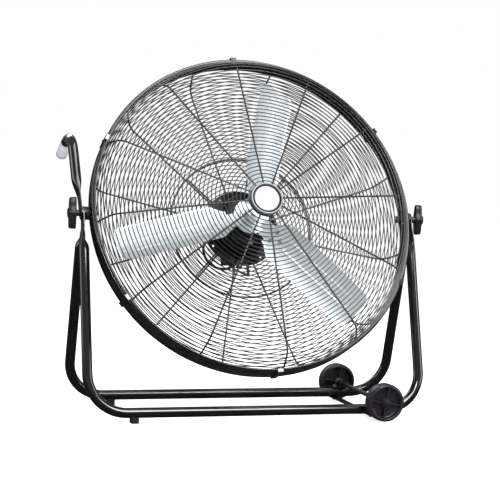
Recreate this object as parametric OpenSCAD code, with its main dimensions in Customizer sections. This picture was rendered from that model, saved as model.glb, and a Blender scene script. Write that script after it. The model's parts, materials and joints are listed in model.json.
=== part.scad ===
// Tilting drum-style floor fan on a wheeled tube stand.
// +X runs along the bottom tubes towards the wheels, +Y to the back, +Z up.
// The origin is on the floor, under the middle of the outer box.
// The head is drawn in its own frame: local Z is the fan axis, pointing out of the front.

/* [Stand] */
// Outer diameter of the bent steel tubes
tube_d = 25.4; // [24:0.1:26]
// Wall of the bent steel tubes
tube_wall = 1.5; // [1.2:0.1:2]
// Height of the tilt axis above the floor
pivot_h = 496; // [490:1:520]
// Distance from the middle of the fan to each upright
upright_x = 430; // [429:0.5:434]
// How far each leg reaches forward or back at the floor
leg_spread = 130; // [110:1:150]
// Bend radius of the two lower corners of a leg
leg_bend_r = 95; // [70:1:110]
// Height of the rubber feet
foot_h = 12; // [10:0.5:14]
// Distance from the middle to the rubber feet
foot_x = 317; // [280:1:325]

/* [Wheels] */
// Diameter of the wheels
wheel_d = 95; // [90:1:97]
// Width of the wheels
wheel_w = 34; // [28:1:38]
// Distance from the middle of the fan to the axle
axle_x = 314; // [280:1:325]
// Diameter of the axle
axle_d = 12; // [10:0.5:13]

/* [Handle] */
// Lean of the handle above the horizontal
handle_angle = 56; // [50:1:62]
// Straight stretch of the handle, from the tilt axis
handle_straight = 178; // [160:1:200]
// Bend radius of the handle
handle_bend_r = 70; // [60:1:85]
// Slope of the grip below the horizontal
grip_angle = 30; // [20:1:40]
// Length of the soft grip
grip_len = 57.5; // [40:1:90]

/* [Head] */
// Tilt of the fan axis above the horizontal
head_tilt = 23; // [0:1:45]
// Outer radius of the steel drum band
drum_r = 415; // [412:0.5:415]
// Back edge of the drum band along the fan axis
drum_back = -9; // [-12:0.5:-8]
// Front edge of the drum band along the fan axis
drum_front = 39; // [38:0.5:42]
// Spacing of the guard rings along the guard's profile
ring_pitch = 10.2; // [9:0.1:14]
// Wire diameter of the guard rings
ring_wire = 2.8; // [2:0.1:3.2]
// Wire diameter of the guard spokes
spoke_wire = 4.5; // [4:0.1:5]
// Number of spokes of each guard
spoke_count = 12; // [8:1:12]
// Angle of the first front spoke
front_spoke_angle = 5; // [4:0.5:8]
// Angle of the first rear spoke
rear_spoke_angle = 17; // [15:0.5:19]

/* [Blades] */
// Radius of the blade tips
blade_r = 361; // [340:1:375]
// Width of a blade across its chord
blade_w = 106; // [90:1:115]
// Pitch of the blades
blade_pitch = 24; // [18:1:28]
// Angle of the first blade
blade_angle = 74.6; // [0:0.1:119]

/* [Motor] */
// Radius of the motor shell
motor_r = 72; // [66:1:73]
// Radius of the mounting plate behind the motor
plate_r = 100; // [98:0.5:101]
// Diameter of the lead between the motor and the switch box
lead_d = 7; // [5:0.5:7]

/* [Hidden] */

$fn = 48;
// A running gap, and the hair's breadth that separates welded wires.
gap = 0.3;
weld_gap = 0.1;
// Corners of bent rods overlap the straights a little and are a hair thicker.
corner_lap = 0.4;
corner_swell = 0.1;

// The tilt axis sits a little in front of the middle of the outer box.
pivot_y = -13.8;

tube_r = tube_d / 2;
tube_z = foot_h + tube_r;
leg_drop = pivot_h - tube_z;
leg_lean = atan(leg_spread / leg_drop);
leg_len = norm([leg_drop, leg_spread]);

// Flattened tube ends, stacked along the tilt axis.
plate_t = 3.4;
eye_r = 17;
leg_flat_end = 30;
leg_cross_end = 60;
leg_round_at = 88;
handle_flat_end = 48;
handle_round_at = 100;
inner_plate_x = 427.9;
outer_plate_x = inner_plate_x + plate_t + 0.2;
handle_plate_x = outer_plate_x + plate_t + 0.2;
handle_x = 438;

stud_r = 5;
stud_hole_r = 5.3;
stud_inner_x = 393.4;
knob_inner_x = 447.5;
knob_outer_x = 467.5;
knob_bar_len = 78;

wheel_r = wheel_d / 2;
wheel_in = 152;
wheel_out = wheel_in + wheel_w;
axle_r = axle_d / 2;
axle_end = wheel_out + 3;
bolt_x = axle_x - 20;
bolt_r = 2.5;
bolt_hole_r = 2.7;

// Guard profiles as [radius, height along the fan axis]; the rear one is mirrored.
front_path = [[38, 129], [378, 88], [403, 44], [403, 33]];
rear_path = [[96, 98.7], [383, 73.5], [405, 22], [405, 9.3]];
guard_bend_r = 34;
rim_bend_r = 10;
rim_wire = 6;
front_rim = [403 + (spoke_wire + rim_wire) / 2 + weld_gap, drum_front + rim_wire / 2 + 0.2];
rear_rim = [405 + (spoke_wire + rim_wire) / 2 + weld_gap, rim_wire / 2 + 0.2 - drum_back];
ring_offset = (spoke_wire + ring_wire) / 2 + weld_gap;

sheet_t = 1.2;
bead_r = 3.5;
drum_sheet_r = drum_r - bead_r;

clip_angle = 33.5;
clip_w = 14;

badge_z = 127;
badge_r = 42;

plate_z = -95.9;
motor_back = -93;
motor_front = -20;
shell_t = 2.5;
bearing_r = 16;
bearing_len = 10;
shaft_r = 6;
stack_back = -68;
stack_front = -42;
bolt_circle = 64;

box_left = -48;
box_w = 60;
box_low = -88;
box_h = 62;
box_depth = 40;
box_back = plate_z - 1.3 - box_depth;
switch_at = [-30, -44];
gland_at = [-2, box_back + 14];
grommet = [-18.2, -84];
grommet_r = 6.9;

hub_z = 6;
camber_r = 170;
blade_t = 1.6;

lead_route = [
    [-70, -19, -80], [-82, -23, -82], [-94, -31, -85], [-102, -43, -87], [-105, -58, -87],
    [-104, -74, -87], [-98, -89, -87], [-87, -101, -87], [-73, -109, -87], [-57, -112, -87],
    [-41, -109, -87], [-28, -100, -87], [-20, -90, -89], [-18, -82, -95], [-18, -79, -103],
    [-18, -79, -111]
];

// ---- Shared shapes ----

function unit(v) = v / norm(v);
function heading(a, b) = atan2(b[1] - a[1], b[0] - a[0]);
function turn(a, b, c) = (heading(b, c) - heading(a, b) + 540) % 360 - 180;
// The radius of corner i; bend_r is one number, or a list with one for each corner.
function corner_r(bend_r, i) = is_list(bend_r) ? bend_r[i - 1] : bend_r;
function setback(points, i, bend_r) =
    i == 0 || i == len(points) - 1 ? 0
    : corner_r(bend_r, i) * tan(abs(turn(points[i - 1], points[i], points[i + 1])) / 2);

// Straight rod between two points of the XZ plane.
module straight_rod(a, b, d) {
    translate([a[0], 0, a[1]])
        rotate([0, 90 - heading(a, b), 0])
            cylinder(h = norm(b - a), d = d);
}

// Rounded corner of a rod at point b of the XZ plane; it swallows the ends of the straights.
module rod_corner(a, b, c, d, bend_r) {
    angle = turn(a, b, c);
    side = sign(angle);
    lap_angle = corner_lap / bend_r * 180 / PI;
    start = b - unit(b - a) * bend_r * tan(abs(angle) / 2);
    normal = heading(a, b) + side * 90;
    centre = start + bend_r * [cos(normal), sin(normal)];
    translate([centre[0], 0, centre[1]])
        rotate([90, 0, 0])
            rotate([0, 0, normal + 180 + min(angle, 0) - lap_angle])
                rotate_extrude(angle = abs(angle) + 2 * lap_angle)
                    translate([bend_r, 0])
                        circle(d = d + corner_swell);
}

// Rod along points of the XZ plane, with rounded corners.
module bent_rod(points, d, bend_r) {
    last = len(points) - 1;
    for (i = [0 : last - 1]) {
        along = unit(points[i + 1] - points[i]);
        straight_rod(points[i] + along * setback(points, i, bend_r),
                     points[i + 1] - along * setback(points, i + 1, bend_r), d);
    }
    for (i = [1 : last - 1])
        rod_corner(points[i - 1], points[i], points[i + 1], d, corner_r(bend_r, i));
}

module torus(radius, wire) {
    rotate_extrude()
        translate([radius, 0])
            circle(d = wire);
}

module ring_solid(outer, inner, height) {
    difference() {
        cylinder(h = height, r = outer);
        translate([0, 0, -1])
            cylinder(h = height + 2, r = inner);
    }
}

// Cylinder along +X, from x0 to x1.
module x_cylinder(x0, x1, radius) {
    translate([x0, 0, 0])
        rotate([0, 90, 0])
            cylinder(h = x1 - x0, r = radius);
}

// Cylinder along +Y, from y0 to y1.
module y_cylinder(y0, y1, radius) {
    translate([0, y0, 0])
        rotate([-90, 0, 0])
            cylinder(h = y1 - y0, r = radius);
}

module hexagon(across_flats, height) {
    cylinder(h = height, d = across_flats / cos(30), $fn = 6);
}

module at_pivot() {
    translate([0, pivot_y, pivot_h])
        children();
}

module head_frame() {
    at_pivot()
        rotate([90 - head_tilt, 0, 0])
            children();
}

module both_sides() {
    children();
    mirror([1, 0, 0])
        children();
}

module both_ends() {
    children();
    mirror([0, 1, 0])
        children();
}

// ---- Stand ----

// Flat eye for the tilt stud at the end of a tube that runs down along -Z.
module eye_plate(plate_x, flat_to) {
    translate([plate_x - plate_t / 2, 0, 0])
        rotate([90, 0, 90])
            linear_extrude(plate_t)
                difference() {
                    union() {
                        circle(r = eye_r);
                        translate([-eye_r, -flat_to])
                            square([2 * eye_r, flat_to]);
                    }
                    circle(r = stud_hole_r);
                }
}

// Thin slices that the flattened stretch of a tube is blended between.
module plate_slice(plate_x, at) {
    translate([plate_x, 0, -at])
        cube([plate_t - corner_swell, 2 * eye_r - corner_swell, 2 * corner_lap], center = true);
}

module round_slice(tube_x, at) {
    translate([tube_x, 0, -at - corner_lap])
        cylinder(h = 2 * corner_lap, r = tube_r - corner_swell, $fn = 32);
}

// Half-flattened slice: flat towards the other leg, rounded on its far side.
module half_slice(plate_x, bulge, at) {
    inner = plate_x - sign(bulge) * plate_t / 2;
    translate([inner + sign(bulge), 0, -at])
        cube([2, 29, 2 * corner_lap], center = true);
    translate([inner + bulge - sign(bulge), 0, -at])
        cube([2, 17, 2 * corner_lap], center = true);
}

// Both flattened ends of a leg, which bulge only away from the other leg where they cross.
module leg_end(plate_x, bulge) {
    eye_plate(plate_x, leg_flat_end);
    hull() {
        plate_slice(plate_x, leg_flat_end);
        half_slice(plate_x, bulge, leg_cross_end);
    }
    hull() {
        half_slice(plate_x, bulge, leg_cross_end);
        round_slice(upright_x, leg_round_at);
    }
}

module leg_path(d, top) {
    bent_rod([[-upright_x, top], [-upright_x, -leg_len], [upright_x, -leg_len], [upright_x, top]],
             d, leg_bend_r);
}

// One U-shaped leg; way is -1 for the front leg and 1 for the rear one.
module leg(way, plate_x, bulge) {
    at_pivot()
        rotate([way * leg_lean, 0, 0])
            both_sides()
                leg_end(plate_x, bulge);
    difference() {
        at_pivot()
            rotate([way * leg_lean, 0, 0])
                difference() {
                    leg_path(tube_d, -leg_round_at);
                    leg_path(tube_d - 2 * tube_wall, -leg_round_at - 4);
                }
        translate([bolt_x, pivot_y + way * leg_spread, 0])
            cylinder(h = 2 * tube_z, r = bolt_hole_r);
    }
}

module front_leg() {
    color([0.03, 0.03, 0.035])
        leg(-1, outer_plate_x, 9);
}

module rear_leg() {
    color([0.03, 0.03, 0.035])
        leg(1, inner_plate_x, -9);
}

// Handle outline in its own upright plane, as [distance back, height] from the tilt axis.
handle_setback = handle_bend_r * tan((handle_angle + grip_angle) / 2);
handle_up = [cos(handle_angle), sin(handle_angle)];
handle_down = [cos(grip_angle), -sin(grip_angle)];
handle_corner = handle_up * (handle_straight + handle_setback);
grip_start = handle_corner + handle_down * handle_setback;
grip_stop = grip_start + handle_down * grip_len;

module handle_plane() {
    at_pivot()
        translate([-handle_x, 0, 0])
            rotate([0, 0, 90])
                children();
}

module handle_run(d, from, to) {
    bent_rod([handle_up * from, handle_corner, grip_start + handle_down * to], d, handle_bend_r);
}

module handle_tube() {
    color([0.03, 0.03, 0.035]) {
        handle_plane()
            difference() {
                handle_run(tube_d, handle_round_at, grip_len + 6);
                handle_run(tube_d - 2 * tube_wall, handle_round_at + 4, grip_len + 8);
            }
        at_pivot()
            rotate([handle_angle - 90, 0, 0])
                mirror([0, 0, 1])
                    mirror([1, 0, 0]) {
                        eye_plate(handle_plate_x, handle_flat_end);
                        hull() {
                            plate_slice(handle_plate_x, handle_flat_end);
                            round_slice(handle_x, handle_round_at);
                        }
                    }
    }
}

// Frame whose Z runs along the grip, starting where the handle's bend ends.
module grip_frame() {
    handle_plane()
        translate([grip_start[0], 0, grip_start[1]])
            rotate([0, 90 + grip_angle, 0])
                children();
}

module handle_grip() {
    color([0.62, 0.63, 0.65])
        grip_frame()
            rotate_extrude()
                polygon([[tube_r + 0.02, 2], [tube_r + 1.2, 2], [tube_r + 2.2, grip_len],
                         [tube_r + 0.02, grip_len]]);
}

module grip_end_cap() {
    cap_r = tube_r + 2.2;
    color([0.35, 0.36, 0.38])
        grip_frame()
            translate([0, 0, grip_len + 0.4])
                rotate_extrude()
                    difference() {
                        union() {
                            square([cap_r, 6]);
                            translate([0, 6])
                                square([cap_r - 5, 5]);
                            translate([cap_r - 5, 6])
                                intersection() {
                                    circle(r = 5);
                                    square(5);
                                }
                        }
                        translate([0, -1])
                            square([tube_r + 0.02, 7]);
                    }
}

module axle_frame() {
    translate([axle_x, pivot_y, wheel_r])
        children();
}

module wheel_axle() {
    color([0.06, 0.06, 0.065])
        axle_frame()
            y_cylinder(-axle_end, axle_end, axle_r);
}

// Saddle that carries the axle on a leg tube, with a flange for the upright bolt.
bracket_top = tube_z + tube_r;
flange_t = 3;
module axle_bracket() {
    translate([0, pivot_y - leg_spread, 0])
        difference() {
            union() {
                translate([axle_x - 10, -10, bracket_top + 0.1])
                    cube([20, 20, wheel_r + 9 - bracket_top]);
                translate([bolt_x - 8, -10, bracket_top + 0.1])
                    cube([20, 20, flange_t]);
            }
            translate([axle_x, 0, wheel_r])
                y_cylinder(-20, 20, axle_r + 0.05);
            translate([bolt_x, 0, bracket_top - 1])
                cylinder(h = 10, r = bolt_hole_r);
        }
}

// Mirrors a front-leg fitting about the plane of the tilt axis.
module front_and_rear() {
    children();
    translate([0, 2 * pivot_y, 0])
        mirror([0, 1, 0])
            children();
}

module axle_brackets() {
    color([0.06, 0.06, 0.065])
        front_and_rear()
            axle_bracket();
}

brace_t = 2.5;
brace_top = foot_h - 0.1;
module axle_brace() {
    color([0.1, 0.1, 0.11])
        difference() {
            translate([bolt_x - 11, pivot_y - leg_spread - 12, brace_top - brace_t])
                cube([22, 2 * leg_spread + 24, brace_t]);
            front_and_rear()
                translate([bolt_x, pivot_y - leg_spread, 0])
                    cylinder(h = 30, r = bolt_hole_r);
        }
}

// Bolts with their nuts, through bracket, tube and brace.
module brace_bolts() {
    head_z = bracket_top + flange_t + 0.15;
    nut_z = brace_top - brace_t - 4.55;
    color([0.5, 0.5, 0.52])
        front_and_rear()
            translate([bolt_x, pivot_y - leg_spread, 0]) {
                translate([0, 0, head_z])
                    hexagon(8, 3.5);
                translate([0, 0, nut_z - 1.5])
                    cylinder(h = head_z - nut_z + 2, r = bolt_r);
                translate([0, 0, nut_z])
                    hexagon(8, 4.5);
            }
}

module axle_washers() {
    color([0.6, 0.6, 0.62])
        axle_frame()
            both_ends() {
                translate([0, wheel_in - 2, 0])
                    rotate([-90, 0, 0])
                        ring_solid(11, axle_r + 0.05, 1.6);
            }
}

module axle_caps() {
    color([0.06, 0.06, 0.065])
        axle_frame()
            both_ends() {
                translate([0, wheel_out + 0.3, 0])
                    difference() {
                        y_cylinder(0, 4.2, 9);
                        y_cylinder(-1, 2.75, axle_r + 0.03);
                    }
            }
}

// Wheel seen along its axle: tread, recessed discs on both faces, four ribs and a hub.
module wheel() {
    disc_t = 6;
    lip = 9;
    hub_r = 11;
    rotate([-90, 0, 0]) {
        rotate_extrude() {
            translate([axle_r + 0.08, 0])
                square([hub_r - axle_r, wheel_w]);
            translate([hub_r - 1, (wheel_w - disc_t) / 2])
                square([wheel_r - lip - hub_r + 2, disc_t]);
            translate([wheel_r - lip, 2])
                square([lip, wheel_w - 4]);
            translate([wheel_r - lip, 0])
                square([lip - 3, wheel_w]);
        }
        for (angle = [10 : 90 : 280])
            rotate([0, 0, angle])
                translate([hub_r - 2, -1.8, 3])
                    cube([wheel_r - lip - hub_r + 3, 3.6, wheel_w - 6]);
    }
}

module front_wheel() {
    color([0.05, 0.05, 0.055])
        axle_frame()
            translate([0, -wheel_out, 0])
                wheel();
}

module rear_wheel() {
    color([0.05, 0.05, 0.055])
        axle_frame()
            translate([0, wheel_in, 0])
                wheel();
}

foot_w = 18;
foot_l = 24;
module rubber_feet() {
    color([0.04, 0.04, 0.04])
        front_and_rear()
            translate([-foot_x, pivot_y - leg_spread, 0])
                difference() {
                    translate([-foot_w / 2, -foot_l / 2, 0])
                        cube([foot_w, foot_l, foot_h + 4]);
                    translate([0, 0, tube_z])
                        x_cylinder(-foot_w, foot_w, tube_r + weld_gap);
                    translate([0, 0, -1])
                        cylinder(h = 5, r = 4.5);
                    cylinder(h = foot_h, r = 2.3);
                }
}

module foot_screws() {
    color([0.5, 0.5, 0.52])
        front_and_rear()
            translate([-foot_x, pivot_y - leg_spread, 0]) {
                translate([0, 0, 1.5])
                    cylinder(h = 2.4, r = 4);
                translate([0, 0, 3.8])
                    cylinder(h = foot_h - 4.2, r = 2.1);
            }
}

// ---- Drum and guards ----

module drum_band() {
    bead_reach = drum_front - drum_back - 2 * bead_r;
    color([0.04, 0.04, 0.045])
        head_frame()
            difference() {
                translate([0, 0, drum_back + bead_r])
                    rotate_extrude() {
                        translate([drum_sheet_r - sheet_t / 2, 0])
                            square([sheet_t, bead_reach]);
                        for (z = [0, bead_reach])
                            translate([drum_sheet_r, z])
                                circle(r = bead_r);
                    }
                both_sides() {
                    x_cylinder(drum_sheet_r - 10, drum_r + 1, stud_hole_r);
                    for (y = [-20, 20])
                        translate([0, y, 20])
                            x_cylinder(drum_sheet_r - 10, drum_r + 1, 2.6);
                }
                for (k = [0 : 5])
                    rotate([0, 0, clip_angle + 60 * k])
                        translate([0, 0, (drum_back + drum_front) / 2])
                            x_cylinder(drum_sheet_r - 10, drum_r + 1, 2.3);
            }
}

// Point of a guard profile at distance s from its inner end, pushed out by the ring offset.
function guard_bend(path) = abs(turn(path[0], path[1], path[2]));
function guard_setback(path) = guard_bend_r * tan(guard_bend(path) / 2);
function face_len(path) = norm(path[1] - path[0]) - guard_setback(path);
function corner_len(path) = guard_bend_r * guard_bend(path) * PI / 180;
function side_len(path) = norm(path[2] - path[1]) - guard_setback(path) - 4;
function guard_len(path) = face_len(path) + corner_len(path) + side_len(path);
function outward(angle) = [-sin(angle), cos(angle)];
function corner_point(path, s) =
    let (h = heading(path[0], path[1]),
         start = path[0] + unit(path[1] - path[0]) * face_len(path),
         centre = start - guard_bend_r * outward(h),
         swing = h - s / guard_bend_r * 180 / PI)
    centre + (guard_bend_r + ring_offset) * outward(swing);
function guard_point(path, s) =
    s < face_len(path)
    ? path[0] + unit(path[1] - path[0]) * s + ring_offset * outward(heading(path[0], path[1]))
    : s < face_len(path) + corner_len(path)
    ? corner_point(path, s - face_len(path))
    : path[1]
      + unit(path[2] - path[1]) * (s - face_len(path) - corner_len(path) + guard_setback(path))
      + ring_offset * outward(heading(path[1], path[2]));

// The rings' wire has eight sides, because there are so many rings.
module guard_rings(path, first) {
    for (s = [first : ring_pitch : guard_len(path)]) {
        point = guard_point(path, s);
        translate([0, 0, point[1]])
            rotate_extrude()
                translate([point[0], 0])
                    circle(d = ring_wire, $fn = 8);
    }
}

// One spoke of a guard: the long face, the rounded side and the short stub at the rim.
module guard_spoke(path) {
    bent_rod(path, spoke_wire, [guard_bend_r, rim_bend_r]);
}

module guard_spokes(path, first_angle) {
    for (k = [0 : spoke_count - 1])
        rotate([0, 0, first_angle + k * 360 / spoke_count])
            guard_spoke(path);
}

module front_guard_rings() {
    color([0.03, 0.03, 0.035])
        head_frame()
            guard_rings(front_path, 8);
}

module front_guard_spokes() {
    color([0.03, 0.03, 0.035])
        head_frame()
            guard_spokes(front_path, front_spoke_angle);
}

module front_guard_rim() {
    color([0.03, 0.03, 0.035])
        head_frame()
            translate([0, 0, front_rim[1]])
                torus(front_rim[0], rim_wire);
}

module rear_guard_rings() {
    color([0.03, 0.03, 0.035])
        head_frame()
            mirror([0, 0, 1])
                guard_rings(rear_path, 8);
}

module rear_guard_spokes() {
    color([0.03, 0.03, 0.035])
        head_frame()
            mirror([0, 0, 1])
                guard_spokes(rear_path, rear_spoke_angle);
}

module rear_guard_rim() {
    color([0.03, 0.03, 0.035])
        head_frame()
            translate([0, 0, -rear_rim[1]])
                torus(rear_rim[0], rim_wire);
}

// Short wires beside four of the rear spokes and the thicker ring that they end on.
module motor_support_wires() {
    ring_d = 5.5;
    inner_r = 92;
    outer_r = 187;
    slope = heading(rear_path[0], rear_path[1]);
    inner_z = rear_path[0][1] + (inner_r - rear_path[0][0]) * tan(slope);
    outer_z = rear_path[0][1] + (outer_r - rear_path[0][0]) * tan(slope);
    color([0.03, 0.03, 0.035])
        head_frame()
            mirror([0, 0, 1]) {
                for (k = [1 : 3 : 10])
                    rotate([0, 0, rear_spoke_angle + k * 30])
                        translate([0, -5.5, 0])
                            straight_rod([inner_r, inner_z], [outer_r, outer_z], spoke_wire);
                translate([0, 0, outer_z - (spoke_wire + ring_d) / 2 - weld_gap])
                    torus(outer_r, ring_d);
            }
}

// ---- Badge, generic and blank ----

module badge_plate() {
    color([0.05, 0.05, 0.055])
        head_frame()
            translate([0, 0, badge_z - 4.5])
                cylinder(h = 3.5, r = badge_r);
}

module badge_ring() {
    color([0.5, 0.51, 0.53])
        head_frame()
            translate([0, 0, badge_z + 5.4])
                rotate_extrude()
                    polygon([[36, -1], [badge_r, -1], [badge_r, 2], [badge_r - 1.5, 4.6],
                             [37, 4.6], [36, 3.4]]);
}

// Disc with a boss that stands on the badge plate.
module badge_disc() {
    color([0.9, 0.9, 0.9])
        head_frame() {
            translate([0, 0, badge_z + 5.4])
                cylinder(h = 3.4, r = 32);
            translate([0, 0, badge_z - 0.9])
                cylinder(h = 6.4, r = 24);
        }
}

// ---- Clips, tilt brackets ----

// Sheet clip over the band, hooked around both guard rims.
module guard_clip() {
    reach_back = -rear_rim[1] - rim_wire / 2 - 0.4;
    reach_front = front_rim[1] + rim_wire / 2 + 0.4;
    clip_t = 1.6;
    outer = drum_r + 0.2;
    translate([outer, -clip_w / 2, reach_back - clip_t])
        difference() {
            cube([clip_t, clip_w, reach_front - reach_back + 2 * clip_t]);
            translate([-1, clip_w / 2, (drum_back + drum_front) / 2 - reach_back + clip_t])
                rotate([0, 90, 0])
                    cylinder(h = 5, r = 2.3);
        }
    for (z = [reach_back - clip_t, reach_front])
        translate([outer - 8, -clip_w / 2, z])
            cube([8.1, clip_w, clip_t]);
}

module around_clips() {
    head_frame()
        for (k = [0 : 5])
            rotate([0, 0, clip_angle + 60 * k])
                children();
}

module guard_clips() {
    color([0.05, 0.05, 0.055])
        around_clips()
            guard_clip();
}

module clip_screws() {
    color([0.06, 0.06, 0.065])
        around_clips()
            translate([0, 0, (drum_back + drum_front) / 2]) {
                x_cylinder(drum_sheet_r - 6, drum_r + 1.9, 2);
                x_cylinder(drum_r + 1.85, drum_r + 3.6, 3.8);
            }
}

// Block inside the band that carries the pivot; its lower edge steps in behind the rear bead.
bracket_x = 409.6;
bracket_t = 5.6;
module pivot_brackets() {
    color([0.06, 0.06, 0.065])
        head_frame()
            both_sides()
                difference() {
                    translate([bracket_x - bracket_t, -27, -6])
                        cube([bracket_t, 54, 37.8]);
                    translate([bracket_x - 2.6, -28, -7])
                        cube([4, 56, 5.4]);
                    x_cylinder(bracket_x - 10, bracket_x + 1, stud_hole_r);
                    for (y = [-20, 20])
                        translate([0, y, 20])
                            x_cylinder(bracket_x - 10, bracket_x + 1, 2.6);
                }
}

module bracket_rivets() {
    color([0.45, 0.45, 0.47])
        head_frame()
            both_sides()
                for (y = [-20, 20])
                    translate([0, y, 20]) {
                        x_cylinder(bracket_x - bracket_t - 1.6, bracket_x - bracket_t - 0.05, 4.5);
                        x_cylinder(bracket_x - bracket_t - 0.1, drum_sheet_r + 1.4, 2.4);
                        x_cylinder(drum_sheet_r + 1.3, drum_sheet_r + 2.8, 4.5);
                    }
}

module pivot_nuts() {
    color([0.5, 0.5, 0.52])
        head_frame()
            both_sides()
                difference() {
                    translate([bracket_x - bracket_t - 0.05, 0, 0])
                        rotate([0, -90, 0])
                            hexagon(16, 9);
                    x_cylinder(bracket_x - 20, bracket_x, stud_r + 0.05);
                }
}

module pivot_spacers() {
    color([0.04, 0.04, 0.045])
        head_frame()
            both_sides()
                difference() {
                    x_cylinder(drum_r + 0.3, inner_plate_x - plate_t / 2 - gap, 16.5);
                    x_cylinder(drum_r - 1, inner_plate_x, stud_hole_r);
                }
}

// ---- Motor ----

module motor_plate() {
    color([0.07, 0.07, 0.075])
        head_frame()
            translate([0, 0, plate_z])
                difference() {
                    cylinder(h = 2.5, r = plate_r);
                    translate([0, 0, -1])
                        cylinder(h = 5, r = 22);
                    translate([grommet[0], grommet[1], -1])
                        cylinder(h = 5, r = grommet_r);
                    for (k = [0 : 3]) {
                        rotate([0, 0, 90 * k])
                            translate([bolt_circle, 0, -1])
                                cylinder(h = 5, r = 2.7);
                        rotate([0, 0, 32 + 90 * k])
                            translate([90, 0, -1])
                                cylinder(h = 5, r = 3.2);
                    }
                }
}

// Motor end shell as a cup around local Z, open towards +Z.
module shell_cup(depth) {
    difference() {
        cylinder(h = depth, r = motor_r);
        translate([0, 0, shell_t])
            cylinder(h = depth, r = motor_r - shell_t);
        translate([0, 0, -1])
            cylinder(h = 10, r = shaft_r + 1.5);
        for (k = [0 : 3])
            rotate([0, 0, 90 * k])
                translate([bolt_circle, 0, -1])
                    cylinder(h = 10, r = 2.7);
        for (k = [0 : 11])
            rotate([0, 0, 15 + 30 * k])
                translate([motor_r - shell_t - 6, 0, depth / 2 - 3])
                    rotate([0, 90, 0])
                        cylinder(h = 12, r = 3);
    }
    difference() {
        translate([0, 0, shell_t - 0.1])
            cylinder(h = bearing_len + 1.6, r = bearing_r + 3);
        translate([0, 0, shell_t + 1])
            cylinder(h = bearing_len + 3, r = bearing_r);
        translate([0, 0, -1])
            cylinder(h = 20, r = shaft_r + 1.5);
    }
}

module motor_rear_shell() {
    color([0.05, 0.05, 0.055])
        head_frame()
            translate([0, 0, motor_back])
                shell_cup(stack_back - motor_back);
}

module motor_front_shell() {
    color([0.05, 0.05, 0.055])
        head_frame()
            translate([0, 0, motor_front])
                mirror([0, 0, 1])
                    shell_cup(motor_front - stack_front);
}

module stator_core() {
    color([0.35, 0.35, 0.37])
        head_frame()
            translate([0, 0, stack_back + 0.1])
                difference() {
                    ring_solid(motor_r - 0.5, 41, stack_front - stack_back - 0.2);
                    for (k = [0 : 3])
                        rotate([0, 0, 90 * k])
                            translate([bolt_circle, 0, -1])
                                cylinder(h = 60, r = 2.7);
                }
}

module stator_windings() {
    color([0.62, 0.3, 0.12])
        head_frame()
            for (z = [stack_back - 8, stack_front + 0.1])
                translate([0, 0, z])
                    ring_solid(57, 43, 7.9);
}

module motor_bearings() {
    color([0.7, 0.7, 0.72])
        head_frame()
            for (z = [motor_back + shell_t + 1.05, motor_front - shell_t - 1.05 - bearing_len])
                translate([0, 0, z])
                    ring_solid(bearing_r - 0.02, shaft_r + 0.03, bearing_len);
}

module motor_through_bolts() {
    color([0.06, 0.06, 0.065])
        head_frame()
            for (k = [0 : 3])
                rotate([0, 0, 90 * k])
                    translate([bolt_circle, 0, 0]) {
                        translate([0, 0, plate_z - 5])
                            cylinder(h = motor_front - plate_z + 5.2, r = 2.5);
                        translate([0, 0, motor_front + 0.1])
                            hexagon(8, 3.5);
                        translate([0, 0, plate_z - 4.3])
                            ring_solid(4.5, 2.45, 4.2);
                    }
}

// Box behind the plate that holds the speed switch and the run capacitor.
module switch_box() {
    wall = 2;
    color([0.06, 0.06, 0.065])
        head_frame()
            difference() {
                translate([box_left, box_low, box_back])
                    cube([box_w, box_h, box_depth]);
                translate([box_left + wall, box_low + wall, box_back + wall])
                    cube([box_w - 2 * wall, box_h - 2 * wall, box_depth]);
                translate([switch_at[0], switch_at[1], box_back - 1])
                    cylinder(h = 5, r = 4.3);
                translate([gland_at[0], box_low - 1, gland_at[1]])
                    rotate([-90, 0, 0])
                        cylinder(h = 5, r = 6.3);
            }
}

module speed_switch() {
    color([0.2, 0.2, 0.22])
        head_frame()
            translate([switch_at[0], switch_at[1], box_back])
                difference() {
                    translate([-11, -11, 2.1])
                        cube([22, 22, 16]);
                    cylinder(h = 9, r = 3.05);
                }
}

// Knob behind the switch box, with its round spindle.
module speed_knob() {
    color([0.05, 0.05, 0.055])
        head_frame()
            translate([switch_at[0], switch_at[1], box_back]) {
                translate([0, 0, -14])
                    cylinder(h = 13.4, r = 12);
                translate([-1.5, 2, -15])
                    cube([3, 9, 1.2]);
                translate([0, 0, -0.7])
                    cylinder(h = 9, r = 3);
            }
}

module run_capacitor() {
    color([0.72, 0.72, 0.7])
        head_frame()
            translate([gland_at[0], -60, box_back + 22])
                rotate([-90, 0, 0])
                    cylinder(h = 28, r = 9);
}

module cord_gland() {
    color([0.05, 0.05, 0.055])
        head_frame()
            translate([gland_at[0], box_low - 10, gland_at[1]])
                rotate([-90, 0, 0])
                    difference() {
                        union() {
                            cylinder(h = 9.9, r1 = 6.5, r2 = 9);
                            cylinder(h = 16, r = 6.2);
                        }
                        translate([0, 0, -1])
                            cylinder(h = 20, r = 4);
                    }
}

// Strips under the motor that hold the lead away from the blades.
module lead_guide() {
    strip_t = 2;
    color([0.04, 0.04, 0.045])
        head_frame()
            translate([0, 0, plate_z + 2.55]) {
                translate([-31, -126, 0])
                    cube([7, 38, strip_t]);
                translate([7, -129, 0])
                    cube([7, 41, strip_t]);
                translate([-23.9, -114, 0])
                    rotate([0, 0, -27])
                        cube([34, 5, strip_t]);
            }
}

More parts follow.
